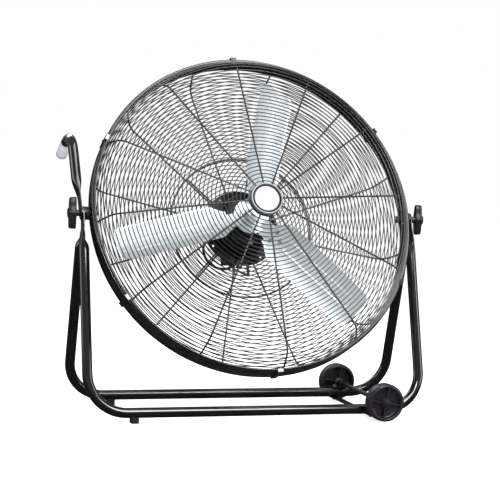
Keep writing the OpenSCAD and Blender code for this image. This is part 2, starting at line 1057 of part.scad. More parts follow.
// Frame of a point on the lead, looking along it.
function route_dir(k) =
    let (last = len(lead_route) - 1)
    unit(lead_route[min(k + 1, last)] - lead_route[max(k - 1, 0)]);
function lead_side(k) = unit(cross([0.3, 0.2, 1], route_dir(k)));
function lead_ring(k, sides) =
    let (a = lead_side(k), b = cross(route_dir(k), a))
    [for (j = [0 : sides - 1])
        lead_route[k] + lead_d / 2 * (cos(360 * j / sides) * a + sin(360 * j / sides) * b)];

// Tube swept along the lead's route.
module motor_lead() {
    sides = 10;
    rings = len(lead_route);
    points = [for (k = [0 : rings - 1]) each lead_ring(k, sides)];
    start_face = [[for (j = [0 : sides - 1]) j]];
    end_face = [[for (j = [sides - 1 : -1 : 0]) (rings - 1) * sides + j]];
    walls = [for (k = [0 : rings - 2], j = [0 : sides - 1])
        let (n = (j + 1) % sides)
        each [[k * sides + j, (k + 1) * sides + j, (k + 1) * sides + n],
              [k * sides + j, (k + 1) * sides + n, k * sides + n]]];
    color([0.05, 0.05, 0.055])
        head_frame()
            polyhedron(points, concat(start_face, walls, end_face));
}

// ---- Rotor ----

module motor_shaft() {
    color([0.7, 0.7, 0.72])
        head_frame()
            translate([0, 0, motor_back + 1])
                cylinder(h = hub_z + 24 - motor_back, r = shaft_r);
}

module rotor_core() {
    color([0.6, 0.6, 0.62])
        head_frame()
            translate([0, 0, stack_back + 0.5])
                ring_solid(40.4, shaft_r + 0.01, stack_front - stack_back - 1);
}

// Cambered plate: local X is radial, local Y the chord, concave towards +Z.
module cambered_plate(outline_depth, lift, thickness) {
    intersection() {
        translate([0, 0, -60])
            linear_extrude(120)
                children();
        translate([0, 0, camber_r + lift])
            rotate([0, 90, 0])
                difference() {
                    cylinder(h = outline_depth, r = camber_r);
                    translate([0, 0, -1])
                        cylinder(h = outline_depth + 2, r = camber_r - thickness);
                }
    }
}

module blade_outline() {
    tip_round = 26;
    root_x = 62;
    half = blade_w / 2;
    root_half = 30;
    shoulder_x = 104;
    polygon([[root_x, -root_half], [shoulder_x, -half], [blade_r - tip_round, -half],
             [blade_r - tip_round, half], [shoulder_x, half], [root_x, root_half]]);
    translate([blade_r - tip_round - 1, -half + tip_round])
        square([tip_round + 1, blade_w - 2 * tip_round]);
    for (side = [-1, 1])
        translate([blade_r - tip_round, side * (half - tip_round)])
            circle(r = tip_round);
}

module blade_frame(number) {
    head_frame()
        rotate([0, 0, blade_angle + 120 * (number - 1)])
            translate([0, 0, hub_z])
                rotate([blade_pitch, 0, 0])
                    children();
}

rivet_spots = [[76, -14], [76, 14], [98, 0]];

module blade(number) {
    color([0.86, 0.88, 0.9])
        blade_frame(number)
            difference() {
                cambered_plate(blade_r + 5, 0, blade_t)
                    blade_outline();
                for (spot = rivet_spots)
                    translate([spot[0], spot[1], -8])
                        cylinder(h = 20, r = 2.6);
            }
}

module blade_1() {
    blade(1);
}

module blade_2() {
    blade(2);
}

module blade_3() {
    blade(3);
}

// Steel hub plate with three arms, pitched and curved like the blades they carry.
module blade_spider() {
    arm_t = 3;
    color([0.8, 0.82, 0.84]) {
        head_frame()
            translate([0, 0, hub_z - 6.2])
                difference() {
                    cylinder(h = 4, r = 46);
                    translate([0, 0, -1])
                        cylinder(h = 8, r = 20.05);
                }
        for (number = [1 : 3])
            blade_frame(number)
                difference() {
                    cambered_plate(120, -arm_t - 0.05, arm_t)
                        translate([36, -21])
                            square([76, 42]);
                    for (spot = rivet_spots)
                        translate([spot[0], spot[1], -12])
                            cylinder(h = 24, r = 2.6);
                }
    }
}

module blade_rivets() {
    color([0.75, 0.76, 0.78])
        for (number = [1 : 3])
            blade_frame(number)
                for (spot = rivet_spots) {
                    surface = camber_r - sqrt(camber_r * camber_r - spot[1] * spot[1]);
                    translate([spot[0], spot[1], surface - 3.7])
                        cylinder(h = 5.9, r = 2.4);
                    translate([spot[0], spot[1], surface + 2.1])
                        cylinder(h = 1.6, r = 4.6);
                    translate([spot[0], spot[1], surface - 5.2])
                        cylinder(h = 1.6, r = 4.6);
                }
}

module blade_hub() {
    color([0.8, 0.82, 0.84])
        head_frame()
            translate([0, 0, hub_z - 18])
                difference() {
                    union() {
                        cylinder(h = 36, r = 20);
                        translate([0, 0, 16])
                            cylinder(h = 5, r = 30);
                    }
                    translate([0, 0, -1])
                        cylinder(h = 40, r = shaft_r + 0.01);
                    translate([0, 0, 6])
                        x_cylinder(0, 25, 3.05);
                }
}

module hub_screw() {
    color([0.3, 0.3, 0.32])
        head_frame()
            translate([0, 0, hub_z - 12])
                x_cylinder(shaft_r + 0.1, 22, 3);
}

// ---- Knobs ----

// Wing knob on the left; the right one is its mirror image.
module wing_knob(neck_x) {
    bar_w = 17;
    hub_len = knob_outer_x - knob_inner_x;
    at_pivot()
        difference() {
            union() {
                x_cylinder(neck_x, knob_inner_x + 1, 8);
                x_cylinder(knob_inner_x, knob_outer_x, 13);
                for (side = [-1, 1])
                    translate([knob_inner_x, 0, side * (knob_bar_len - bar_w) / 2])
                        x_cylinder(0, hub_len - 2.5, bar_w / 2);
                translate([knob_inner_x, -bar_w / 2, -(knob_bar_len - bar_w) / 2])
                    cube([hub_len - 2.5, bar_w, knob_bar_len - bar_w]);
            }
            x_cylinder(neck_x - 1, knob_inner_x + 10, stud_r + 0.01);
        }
}

module knob_stud() {
    at_pivot()
        x_cylinder(stud_inner_x, knob_inner_x + 9.9, stud_r);
}

module left_knob() {
    color([0.05, 0.05, 0.055])
        mirror([1, 0, 0])
            wing_knob(handle_plate_x + plate_t / 2 + gap);
}

module left_knob_stud() {
    color([0.6, 0.6, 0.62])
        mirror([1, 0, 0])
            knob_stud();
}

module right_knob() {
    color([0.05, 0.05, 0.055])
        wing_knob(outer_plate_x + plate_t / 2 + gap);
}

module right_knob_stud() {
    color([0.6, 0.6, 0.62])
        knob_stud();
}

front_leg();
rear_leg();
handle_tube();
handle_grip();
grip_end_cap();
wheel_axle();
axle_brackets();
axle_brace();
brace_bolts();
axle_washers();
axle_caps();
rubber_feet();
foot_screws();
drum_band();
front_guard_rings();
front_guard_spokes();
front_guard_rim();
rear_guard_rings();
rear_guard_spokes();
rear_guard_rim();
motor_support_wires();
badge_plate();
badge_ring();
badge_disc();
guard_clips();
clip_screws();
pivot_brackets();
bracket_rivets();
pivot_nuts();
pivot_spacers();
motor_plate();
motor_rear_shell();
motor_front_shell();
stator_core();
stator_windings();
motor_bearings();
motor_through_bolts();
switch_box();
speed_switch();
run_capacitor();
cord_gland();
lead_guide();
motor_lead();
motor_shaft();
rotor_core();
blade_hub();
blade_spider();
blade_1();
blade_2();
blade_3();
blade_rivets();
hub_screw();
front_wheel();
rear_wheel();
left_knob();
left_knob_stud();
right_knob();
right_knob_stud();
speed_knob();
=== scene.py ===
# Looks of a wheeled, tilting drum-type floor fan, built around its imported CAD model. Shapes are
# drawn in millimetres in a few local frames, and turned into metres when a piece is made.

import json
import math

import bmesh
import bpy
from mathutils import Matrix, Vector


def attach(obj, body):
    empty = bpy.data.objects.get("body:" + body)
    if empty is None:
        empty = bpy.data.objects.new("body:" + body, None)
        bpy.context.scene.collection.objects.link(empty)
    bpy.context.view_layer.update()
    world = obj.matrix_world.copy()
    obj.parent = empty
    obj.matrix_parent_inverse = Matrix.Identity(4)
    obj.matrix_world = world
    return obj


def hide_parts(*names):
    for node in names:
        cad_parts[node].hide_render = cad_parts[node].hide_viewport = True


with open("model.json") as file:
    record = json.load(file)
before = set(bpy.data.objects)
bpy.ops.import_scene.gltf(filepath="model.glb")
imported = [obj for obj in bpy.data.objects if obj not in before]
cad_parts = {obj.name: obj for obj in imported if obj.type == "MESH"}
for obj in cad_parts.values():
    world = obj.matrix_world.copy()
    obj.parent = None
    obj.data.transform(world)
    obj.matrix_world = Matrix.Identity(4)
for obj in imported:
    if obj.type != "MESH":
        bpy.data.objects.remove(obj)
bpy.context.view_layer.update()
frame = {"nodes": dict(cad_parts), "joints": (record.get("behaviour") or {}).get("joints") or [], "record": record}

# ---------------------------------------------------------------- frames

MM = 0.001
joints = {joint["name"]: joint for joint in frame["joints"]}
PIVOT = Vector(joints["head_tilt"]["pos_m"])
FAN_AXIS = Vector(joints["fan_spin"]["axis"])
WHEEL_CENTRES = {
    name: Vector(joints[name + "_spin"]["pos_m"]) for name in ("front_wheel", "rear_wheel")
}


def turned(axis, degrees):
    return Matrix.Rotation(math.radians(degrees), 4, axis)


def moved(x=0.0, y=0.0, z=0.0):
    return Matrix.Translation((x, y, z))


def columns(x, y, z):
    """A rotation whose columns are the three given directions."""
    return Matrix((x, y, z)).transposed().to_4x4()


SCALE = Matrix.Scale(MM, 4)
AT_PIVOT = Matrix.Translation(PIVOT) @ SCALE
# The head's frame: local Z is the fan axis, pointing out of the front.
HEAD = Matrix.Translation(PIVOT) @ columns(
    Vector((1, 0, 0)), FAN_AXIS.cross(Vector((1, 0, 0))), FAN_AXIS
) @ SCALE

# ---------------------------------------------------------------- dimensions, in mm

TUBE_R = 12.7
PIVOT_H = PIVOT.z / MM
TUBE_Z = 12 + TUBE_R
UPRIGHT_X = 430
LEG_SPREAD = 130
LEG_BEND_R = 95
LEG_ROUND_AT = 88
LEG_DROP = PIVOT_H - TUBE_Z
LEG_LEAN = math.degrees(math.atan(LEG_SPREAD / LEG_DROP))
LEG_LEN = math.hypot(LEG_DROP, LEG_SPREAD)
EYE_R = 17
PLATE_T = 3.4
INNER_PLATE_X = 427.9
OUTER_PLATE_X = 431.5
HANDLE_PLATE_X = 435.1
HANDLE_X = 438

HANDLE_ANGLE = 56
HANDLE_STRAIGHT = 178
HANDLE_BEND_R = 70
GRIP_ANGLE = 30
GRIP_LEN = 57.5

WHEEL_R = 47.5
WHEEL_W = 34
AXLE_R = 6

DRUM_R = 415
DRUM_BACK = -9
DRUM_FRONT = 39
RING_PITCH = 10.2
FIRST_RING = 8.0
LAST_RING_INSET = 4
# A little under the CAD's 2.8, which keeps the front guard inside the CAD's box.
RING_WIRE = 2.74
SPOKE_WIRE = 4.5
SPOKES = 12
FRONT_SPOKE_ANGLE = 5
REAR_SPOKE_ANGLE = 17
FRONT_PATH = [(38, 129), (378, 88), (403, 44), (403, 33)]
REAR_PATH = [(96, 98.7), (383, 73.5), (405, 22), (405, 9.3)]
GUARD_BEND_R = 34
RIM_BEND_R = 10
RIM_WIRE = 6
WELD_GAP = 0.1
RIM_GAP = (SPOKE_WIRE + RIM_WIRE) / 2 + WELD_GAP
FRONT_RIM = (403 + RIM_GAP, DRUM_FRONT + RIM_WIRE / 2 + 0.2)
REAR_RIM = (405 + RIM_GAP, RIM_WIRE / 2 + 0.2 - DRUM_BACK)
RING_OFFSET = (SPOKE_WIRE + RING_WIRE) / 2 + WELD_GAP
CLIP_ANGLE = 33.5

BLADE_NUMBERS = (1, 2, 3)
BLADE_ROOT = 62
BLADE_R = 361
BLADE_W = 106
BLADE_PITCH = 24
BLADE_ANGLE = 74.6
HUB_Z = 6
CAMBER_R = 170

BADGE_Z = 127
BADGE_R = 42
PLATE_Z = -95.9
MOTOR_BACK = -93
MOTOR_FRONT = -20

# ---------------------------------------------------------------- shapes: (points, faces)


def join(*shapes):
    points, faces = [], []
    for more, sides in shapes:
        start = len(points)
        points += list(more)
        faces += [tuple(start + k for k in face) for face in sides]
    return points, faces


def placed(shape, matrix):
    points, faces = shape
    out = [matrix @ Vector(p) for p in points]
    if matrix.determinant() < 0:
        faces = [tuple(reversed(face)) for face in faces]
    return out, faces


def loft(rings, closed=False, caps=True):
    """Skin over rings of equally many points; closed joins the last ring to the first."""
    size = len(rings[0])
    points = [Vector(p) for ring in rings for p in ring]
    faces = []
    spans = len(rings) if closed else len(rings) - 1
    for i in range(spans):
        here, there = i * size, (i + 1) % len(rings) * size
        for k in range(size):
            after = (k + 1) % size
            faces.append((here + k, here + after, there + after, there + k))
    if caps and not closed:
        faces.append(tuple(reversed(range(size))))
        faces.append(tuple(range((len(rings) - 1) * size, len(rings) * size)))
    return points, faces


def lathe(profile, segments=64):
    """A closed (radius, height) outline turned about Z."""
    rings = []
    for k in range(segments):
        angle = 2 * math.pi * k / segments
        rings.append([(r * math.cos(angle), r * math.sin(angle), z) for r, z in profile])
    return loft(rings, closed=True)


def circle(radius, sides, centre=(0.0, 0.0)):
    steps = (2 * math.pi * k / sides for k in range(sides))
    return [(centre[0] + radius * math.cos(a), centre[1] + radius * math.sin(a)) for a in steps]


def torus(radius, height, wire, segments=144, sides=8):
    return lathe(circle(wire / 2, sides, (radius, height)), segments)


def rounded(points, radii, step=6.0):
    """A polyline with arcs at its inner corners; radii is one number, or one for each corner."""
    points = [Vector(p) for p in points]
    if not isinstance(radii, list):
        radii = [radii] * (len(points) - 2)
    out = [points[0]]
    for before, corner, after, radius in zip(points, points[1:], points[2:], radii):
        a, b = (corner - before).normalized(), (after - corner).normalized()
        angle = a.angle(b)
        if angle < 0.01:
            continue
        cut = radius * math.tan(angle / 2)
        start = corner - a * cut
        side = (b - a * a.dot(b)).normalized()
        count = max(3, math.ceil(math.degrees(angle) / step))
        for k in range(count + 1):
            swing = angle * k / count
            out.append(start + radius * (math.sin(swing) * a + (1 - math.cos(swing)) * side))
    out.append(points[-1])
    return out


def sweep(points, radius, sides=12, normal=None):
    """Round tube along 3-D points; radius is a number or one for each point."""
    points = [Vector(p) for p in points]
    radii = radius if isinstance(radius, list) else [radius] * len(points)
    side = Vector(normal) if normal else None
    rings = []
    for i, point in enumerate(points):
        ahead = points[min(i + 1, len(points) - 1)] - points[max(i - 1, 0)]
        ahead.normalize()
        if side is None:
            side = ahead.orthogonal()
        side = (side - ahead * side.dot(ahead)).normalized()
        other = ahead.cross(side)
        rings.append([point + a * side + b * other for a, b in circle(radii[i], sides)])
    return loft(rings)


def bar(size, centre=(0, 0, 0), bevel=1.0, segments=2):
    """Box with rounded edges."""
    mesh = bmesh.new()
    bmesh.ops.create_cube(mesh, size=1.0)
    for vert in mesh.verts:
        vert.co = Vector(v * s for v, s in zip(vert.co, size))
    if bevel:
        bmesh.ops.bevel(mesh, geom=mesh.edges[:], offset=bevel, segments=segments,
                        affect="EDGES", profile=0.5)
    mesh.verts.index_update()
    points = [v.co + Vector(centre) for v in mesh.verts]
    faces = [tuple(v.index for v in face.verts) for face in mesh.faces]
    mesh.free()
    return points, faces


def smooth_step(t):
    t = min(max(t, 0.0), 1.0)
    return t * t * (3 - 2 * t)


def plate(outline, z0, z1, edge=0.4):
    """Flat outline extruded from z0 to z1 with a small chamfer; it shrinks towards its middle."""
    cx = sum(p[0] for p in outline) / len(outline)
    cy = sum(p[1] for p in outline) / len(outline)

    def shrunk(by):
        out = []
        for x, y in outline:
            reach = math.hypot(x - cx, y - cy)
            keep = (reach - by) / reach
            out.append((cx + (x - cx) * keep, cy + (y - cy) * keep))
        return out

    levels = [(edge, z0), (0, z0 + edge), (0, z1 - edge), (edge, z1)]
    return loft([[(x, y, z) for x, y in shrunk(by)] for by, z in levels])


# ---------------------------------------------------------------- pieces


def piece(name, shape, at, body, look, replaced, crease, uv):
    """Turns a shape into a Blender object that rides on a CAD body and stands for a CAD node."""
    points, faces = placed(shape, at)
    mesh = bpy.data.meshes.new(name)
    mesh.from_pydata([tuple(p) for p in points], [], faces)
    mesh.validate()
    worker = bmesh.new()
    worker.from_mesh(mesh)
    bmesh.ops.recalc_face_normals(worker, faces=worker.faces[:])
    worker.to_mesh(mesh)
    worker.free()
    if uv:
        layer = mesh.uv_layers.new(name="length")
        for loop in mesh.loops:
            layer.data[loop.index].uv = uv[loop.vertex_index]
    mesh.materials.append(look)
    mesh.shade_smooth()
    mesh.set_sharp_from_angle(angle=math.radians(crease))
    thing = bpy.data.objects.new(name, mesh)
    bpy.context.scene.collection.objects.link(thing)
    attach(thing, body)
    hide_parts(replaced)


# ---------------------------------------------------------------- materials


def material(name, colour, second=None, metallic=0.0, roughness=0.4, spread=0.1, coat=0.0,
             ior=1.45, bump=0.0, bump_scale=900.0, stain_scale=14.0, dust=0.0, stretch=None):
    """Procedural finish: mottled colour, uneven gloss, fine surface grain and a little dust on top.

    stretch is (across, along) for a brushed grain that follows the piece's own UV directions.
    """
    look = bpy.data.materials.new(name)
    look.use_nodes = True
    tree = look.node_tree
    nodes, links = tree.nodes, tree.links
    shader = nodes["Principled BSDF"]
    shader.inputs["Metallic"].default_value = metallic
    shader.inputs["Coat Weight"].default_value = coat
    shader.inputs["Coat Roughness"].default_value = 0.08
    shader.inputs["IOR"].default_value = ior
    place = nodes.new("ShaderNodeTexCoord")

    def noise(source, scale, detail=3.0):
        node = nodes.new("ShaderNodeTexNoise")
        node.inputs["Scale"].default_value = scale
        node.inputs["Detail"].default_value = detail
        links.new(source, node.inputs["Vector"])
        return node.outputs["Fac"]

    def remap(value, low, high):
        node = nodes.new("ShaderNodeMapRange")
        node.inputs["From Min"].default_value = 0.3
        node.inputs["From Max"].default_value = 0.7
        node.inputs["To Min"].default_value = low
        node.inputs["To Max"].default_value = high
        links.new(value, node.inputs["Value"])
        return node.outputs["Result"]

    def mixed(factor, a, b):
        node = nodes.new("ShaderNodeMix")
        node.data_type = "RGBA"
        links.new(factor, node.inputs["Factor"])
        for socket, value in ((node.inputs["A"], a), (node.inputs["B"], b)):
            if isinstance(value, bpy.types.NodeSocket):
                links.new(value, socket)
            else:
                socket.default_value = (*value, 1.0)
        return node.outputs["Result"]

    grain_source = place.outputs["Object"]
    if stretch:
        across = nodes.new("ShaderNodeMapping")
        across.inputs["Scale"].default_value = (stretch[1], stretch[0], 1.0)
        links.new(place.outputs["UV"], across.inputs["Vector"])
        grain_source = across.outputs["Vector"]
        bump_scale = 1.0
    stains = noise(place.outputs["Object"], stain_scale)
    grain = noise(grain_source, bump_scale, 2.0)
    tint = mixed(remap(stains, 0.0, 1.0), colour, second or [c * 0.8 for c in colour])
    gloss = remap(stains, roughness - spread / 2, roughness + spread / 2)
    if stretch:
        tint = mixed(remap(grain, 0.0, 0.35), tint, [c * 0.75 for c in colour])
    if dust:
        normal = nodes.new("ShaderNodeNewGeometry")
        split = nodes.new("ShaderNodeSeparateXYZ")
        links.new(normal.outputs["Normal"], split.inputs["Vector"])
        patchy = nodes.new("ShaderNodeMath")
        patchy.operation = "MULTIPLY"
        patchy.use_clamp = True
        links.new(split.outputs["Z"], patchy.inputs[0])
        links.new(remap(noise(place.outputs["Object"], 60.0), 0.0, dust), patchy.inputs[1])
        tint = mixed(patchy.outputs["Value"], tint, (0.42, 0.41, 0.39))
    links.new(tint, shader.inputs["Base Color"])
    links.new(gloss, shader.inputs["Roughness"])
    if bump:
        relief = nodes.new("ShaderNodeBump")
        relief.inputs["Strength"].default_value = bump
        relief.inputs["Distance"].default_value = 0.0004
        links.new(grain, relief.inputs["Height"])
        links.new(relief.outputs["Normal"], shader.inputs["Normal"])
    return look


LOOKS = {
    "tube_black": material("tube_black", (0.003, 0.003, 0.004), (0.006, 0.006, 0.007),
                           roughness=0.08, spread=0.04, ior=1.75, bump=0.02, bump_scale=160.0,
                           dust=0.006),
    "guard_black": material("guard_black", (0.003, 0.003, 0.004), (0.007, 0.007, 0.008),
                            roughness=0.3, spread=0.08, ior=1.85, bump=0.04, bump_scale=700.0),
    "band_black": material("band_black", (0.004, 0.004, 0.005), (0.008, 0.008, 0.01),
                           roughness=0.13, spread=0.06, ior=1.9, bump=0.02, bump_scale=160.0,
                           dust=0.008),
    "blade_metal": material("blade_metal", (0.74, 0.78, 0.8), (0.64, 0.69, 0.71), metallic=0.35,
                            roughness=0.32, spread=0.1, bump=0.12, stretch=(260.0, 3.0)),
    "hub_metal": material("hub_metal", (0.76, 0.79, 0.81), (0.64, 0.68, 0.7), metallic=0.3,
                          roughness=0.36, bump=0.1, bump_scale=600.0),
    "rivet_metal": material("rivet_metal", (0.6, 0.62, 0.64), metallic=1.0, roughness=0.3,
                            bump=0.08, bump_scale=900.0),
    "zinc_steel": material("zinc_steel", (0.56, 0.57, 0.6), (0.5, 0.5, 0.48), metallic=1.0,
                           roughness=0.34, spread=0.16, bump=0.1, bump_scale=1400.0),
    "axle_steel": material("axle_steel", (0.008, 0.008, 0.01), (0.014, 0.014, 0.016), roughness=0.26,
                           spread=0.12, bump=0.08, bump_scale=500.0, dust=0.01),
    "ground_steel": material("ground_steel", (0.6, 0.6, 0.62), metallic=1.0, roughness=0.28,
                             bump=0.08, bump_scale=1600.0),
    "copper_winding": material("copper_winding", (0.5, 0.2, 0.07), (0.4, 0.15, 0.05), metallic=0.8,
                               roughness=0.35, bump=0.8, bump_scale=900.0),
    "motor_paint": material("motor_paint", (0.003, 0.003, 0.0035), (0.007, 0.007, 0.008),
                            roughness=0.4, spread=0.12, ior=1.32, bump=0.16, bump_scale=700.0),
    "black_plastic": material("black_plastic", (0.007, 0.007, 0.008), (0.012, 0.012, 0.013),
                              roughness=0.36, spread=0.1, bump=0.3, bump_scale=1500.0, dust=0.01),
    "lead_black": material("lead_black", (0.006, 0.006, 0.007), roughness=0.45, bump=0.2,
                           bump_scale=1100.0),
    "switch_plastic": material("switch_plastic", (0.05, 0.05, 0.055), roughness=0.5, bump=0.2),
    "capacitor_shell": material("capacitor_shell", (0.6, 0.6, 0.57), roughness=0.3, bump=0.05),
    "wheel_plastic": material("wheel_plastic", (0.012, 0.01, 0.013), (0.018, 0.015, 0.018),
                              roughness=0.3, spread=0.1, bump=0.2, bump_scale=1300.0, dust=0.015),
    "foot_rubber": material("foot_rubber", (0.008, 0.008, 0.008), roughness=0.75, bump=0.4,
                            bump_scale=1200.0),
    "grip_grey": material("grip_grey", (0.5, 0.51, 0.55), (0.42, 0.43, 0.47), roughness=0.5,
                          bump=0.35, bump_scale=1400.0),
    "grip_cap": material("grip_cap", (0.3, 0.31, 0.34), (0.24, 0.25, 0.27), roughness=0.45,
                         bump=0.25, bump_scale=1400.0),
    "badge_rim": material("badge_rim", (0.26, 0.27, 0.28), (0.2, 0.21, 0.22), metallic=0.6,
                          roughness=0.36, bump=0.05, bump_scale=500.0),
    "badge_white": material("badge_white", (0.5, 0.5, 0.53), (0.46, 0.46, 0.49), roughness=0.22,
                            coat=0.3, bump=0.03, bump_scale=120.0),
}

SLOT_OF = {row["node"]: row["material_slot"] for row in frame["record"]["subparts"]}
BODY_OF = {
    node: body
    for body, members in frame["record"]["behaviour"]["bodies"].items()
    for node in members
}
for node_name, node_object in frame["nodes"].items():
    node_object.data.materials.clear()
    node_object.data.materials.append(LOOKS[SLOT_OF[node_name]])


def stand_for(node, shape, at, crease=40.0, uv=None):
    """A piece that replaces one CAD node, on its body and with its slot."""
    slot = SLOT_OF[node]
    piece(node + "_skin", shape, at, BODY_OF[node], LOOKS[slot], node, crease, uv)


# ---------------------------------------------------------------- stand: legs and handle


def super_section(half_a, half_b, power, sides=28):
    """Rounded section: power 2 is an ellipse, larger powers are nearer a rectangle."""
    out = []
    for k in range(sides):
        c, s = math.cos(2 * math.pi * k / sides), math.sin(2 * math.pi * k / sides)
        out.append((
            math.copysign(half_a * abs(c) ** (2 / power), c),
            math.copysign(half_b * abs(s) ** (2 / power), s),
        ))
    return out


def planar_tube(stations):
    """Tube in the XZ plane; a station is (x, z, half width in Y, half thickness, power)."""
    rings = []
    for i, (x, z, half_a, half_b, power) in enumerate(stations):
        before, after = stations[max(i - 1, 0)], stations[min(i + 1, len(stations) - 1)]
        ahead = Vector((after[0] - before[0], 0, after[1] - before[1])).normalized()
        across = Vector((-ahead.z, 0, ahead.x))
        centre = Vector((x, 0, z))
        rings.append([
            centre + a * Vector((0, 1, 0)) + b * across
            for a, b in super_section(half_a, half_b, power)
        ])
    return loft(rings)


def flattened_end(plate_x, key_slices, steps=6):
    """Stations down from the eye: the rounded top, then blends between the key slices.

    A key slice is (depth, centre x, half width, half thickness, power).
    """
    out = []
    for k in range(7):
        angle = math.radians(6 + 84 * k / 6)
        out.append((plate_x, EYE_R * math.cos(angle), max(EYE_R * math.sin(angle), 1.5),
                    PLATE_T / 2, 7.0))
    previous = (0.0, plate_x, EYE_R, PLATE_T / 2, 7.0)
    for key in key_slices:
        for k in range(1, steps + 1):
            t = k / steps
            blend = smooth_step(t)
            depth = previous[0] + (key[0] - previous[0]) * t
            x, half_a, half_b, power = (
                previous[j] + (key[j] - previous[j]) * blend for j in (1, 2, 3, 4)
            )
            out.append((x, -depth, half_a, half_b, power))
        previous = key
    return out


def leg_shape(plate_x, bulge):
    inner = plate_x - math.copysign(PLATE_T / 2, bulge)
    end = flattened_end(plate_x, [
        (30, plate_x, EYE_R, PLATE_T / 2, 7.0),
        (60, inner + bulge / 2, 14.5, 4.5, 3.6),
        (LEG_ROUND_AT, UPRIGHT_X, TUBE_R, TUBE_R, 2.0),
    ])
    bottom = -LEG_LEN
    right = list(end)
    corner = [(UPRIGHT_X, -LEG_ROUND_AT - 4), (UPRIGHT_X, bottom), (0, bottom)]
    arc = rounded([(x, 0, z) for x, z in corner], LEG_BEND_R, step=4.0)[:-1]
    right += [(p.x, p.z, TUBE_R, TUBE_R, 2.0) for p in arc]
    left = [(-x, z, a, b, p) for x, z, a, b, p in reversed(right)]
    return planar_tube(right + left)


for leg_name, way, plate_x, bulge in (
    ("front_leg", -1, OUTER_PLATE_X, 9), ("rear_leg", 1, INNER_PLATE_X, -9),
):
    stand_for(leg_name, leg_shape(plate_x, bulge), AT_PIVOT @ turned("X", way * LEG_LEAN))

# The handle's own plane: local X runs back, local Z up, at the left end of the tilt axis.
HANDLE = AT_PIVOT @ moved(-HANDLE_X) @ turned("Z", 90)
handle_up = Vector((math.cos(math.radians(HANDLE_ANGLE)), 0, math.sin(math.radians(HANDLE_ANGLE))))
handle_down = Vector((math.cos(math.radians(GRIP_ANGLE)), 0, -math.sin(math.radians(GRIP_ANGLE))))
handle_setback = HANDLE_BEND_R * math.tan(math.radians((HANDLE_ANGLE + GRIP_ANGLE) / 2))
handle_corner = handle_up * (HANDLE_STRAIGHT + handle_setback)
grip_start = handle_corner + handle_down * handle_setback


def handle_shape():
    """Flattened eye, straight run, bend and the stub under the grip, as one tube."""
    side = Vector((0, 1, 0))
    rings = []
    keys = flattened_end(HANDLE_PLATE_X - HANDLE_X, [
        (48, HANDLE_PLATE_X - HANDLE_X, EYE_R, PLATE_T / 2, 7.0),
        (100, 0, TUBE_R, TUBE_R, 2.0),
    ], steps=8)
    across = handle_up.cross(side)
    for x, z, half_a, half_b, power in keys:
        centre = handle_up * -z + side * x
        rings.append([centre + a * across + b * side
                      for a, b in super_section(half_a, half_b, power)])
    path = rounded([handle_up * 104, handle_corner, grip_start + handle_down * (GRIP_LEN + 5)],
                   HANDLE_BEND_R, step=4.0)
    for i, point in enumerate(path):
        ahead = (path[min(i + 1, len(path) - 1)] - path[max(i - 1, 0)]).normalized()
        across = ahead.cross(side)
        rings.append([point + a * across + b * side
                      for a, b in super_section(TUBE_R, TUBE_R, 2.0)])
    return loft(rings)


stand_for("handle_tube", handle_shape(), HANDLE)

GRIP = HANDLE @ Matrix.Translation(grip_start) @ turned("Y", 90 + GRIP_ANGLE)


def ribbed_grip():
    """Sleeve with a soft lip at each end and shallow grooves round it."""
    inner = TUBE_R + 0.05
    outer = [(inner, 2.0), (TUBE_R + 1.0, 2.0), (TUBE_R + 1.5, 2.6), (TUBE_R + 1.5, 5.5)]
    grooves = 9
    for k in range(grooves * 6 + 1):
        t = k / (grooves * 6)
        groove = 0.35 * (0.5 - 0.5 * math.cos(2 * math.pi * grooves * t))
        outer.append((TUBE_R + 1.3 + 0.7 * t - groove, 6.5 + (GRIP_LEN - 12) * t))
    top = GRIP_LEN - 0.1
    outer += [(TUBE_R + 2.1, top - 4), (TUBE_R + 2.1, top - 0.7), (TUBE_R + 1.6, top), (inner, top)]
    return lathe(outer, 48)


stand_for("handle_grip", ribbed_grip(), GRIP, crease=60.0)


def grip_cap():
    outer = TUBE_R + 2.2
    profile = [(TUBE_R + 0.05, 0.5), (outer - 0.4, 0.5), (outer, 0.9), (outer, 6.4)]
    for k in range(1, 9):
        angle = math.radians(90 * k / 8)
        profile.append((outer - 5 + 5 * math.cos(angle), 6.4 + 5 * math.sin(angle)))
    profile += [(3.0, 11.4), (2.2, 10.9), (0.01, 10.9), (0.01, 6.2), (TUBE_R + 0.05, 6.2)]
    return lathe(profile, 48)


stand_for("grip_end_cap", grip_cap(), GRIP @ moved(0, 0, GRIP_LEN - 0.1))

# ---------------------------------------------------------------- stand: axle, brace, wheels

AXLE_CENTRE = (WHEEL_CENTRES["front_wheel"] + WHEEL_CENTRES["rear_wheel"]) / 2
AXLE = Matrix.Translation(AXLE_CENTRE) @ SCALE
ALONG_AXLE = AXLE @ turned("X", -90)
AXLE_X = WHEEL_CENTRES["front_wheel"].x / MM
FLOOR_FRAME = moved(0, PIVOT.y, 0) @ SCALE
AXLE_END = 189
axle_profile = [(0.01, -AXLE_END), (AXLE_R - 1, -AXLE_END), (AXLE_R, 1 - AXLE_END),
                (AXLE_R, AXLE_END - 1), (AXLE_R - 1, AXLE_END), (0.01, AXLE_END)]
stand_for("wheel_axle", lathe(axle_profile, 24), ALONG_AXLE)

BRACKET_TOP = TUBE_Z + TUBE_R
BOLT_X = AXLE_X - 20


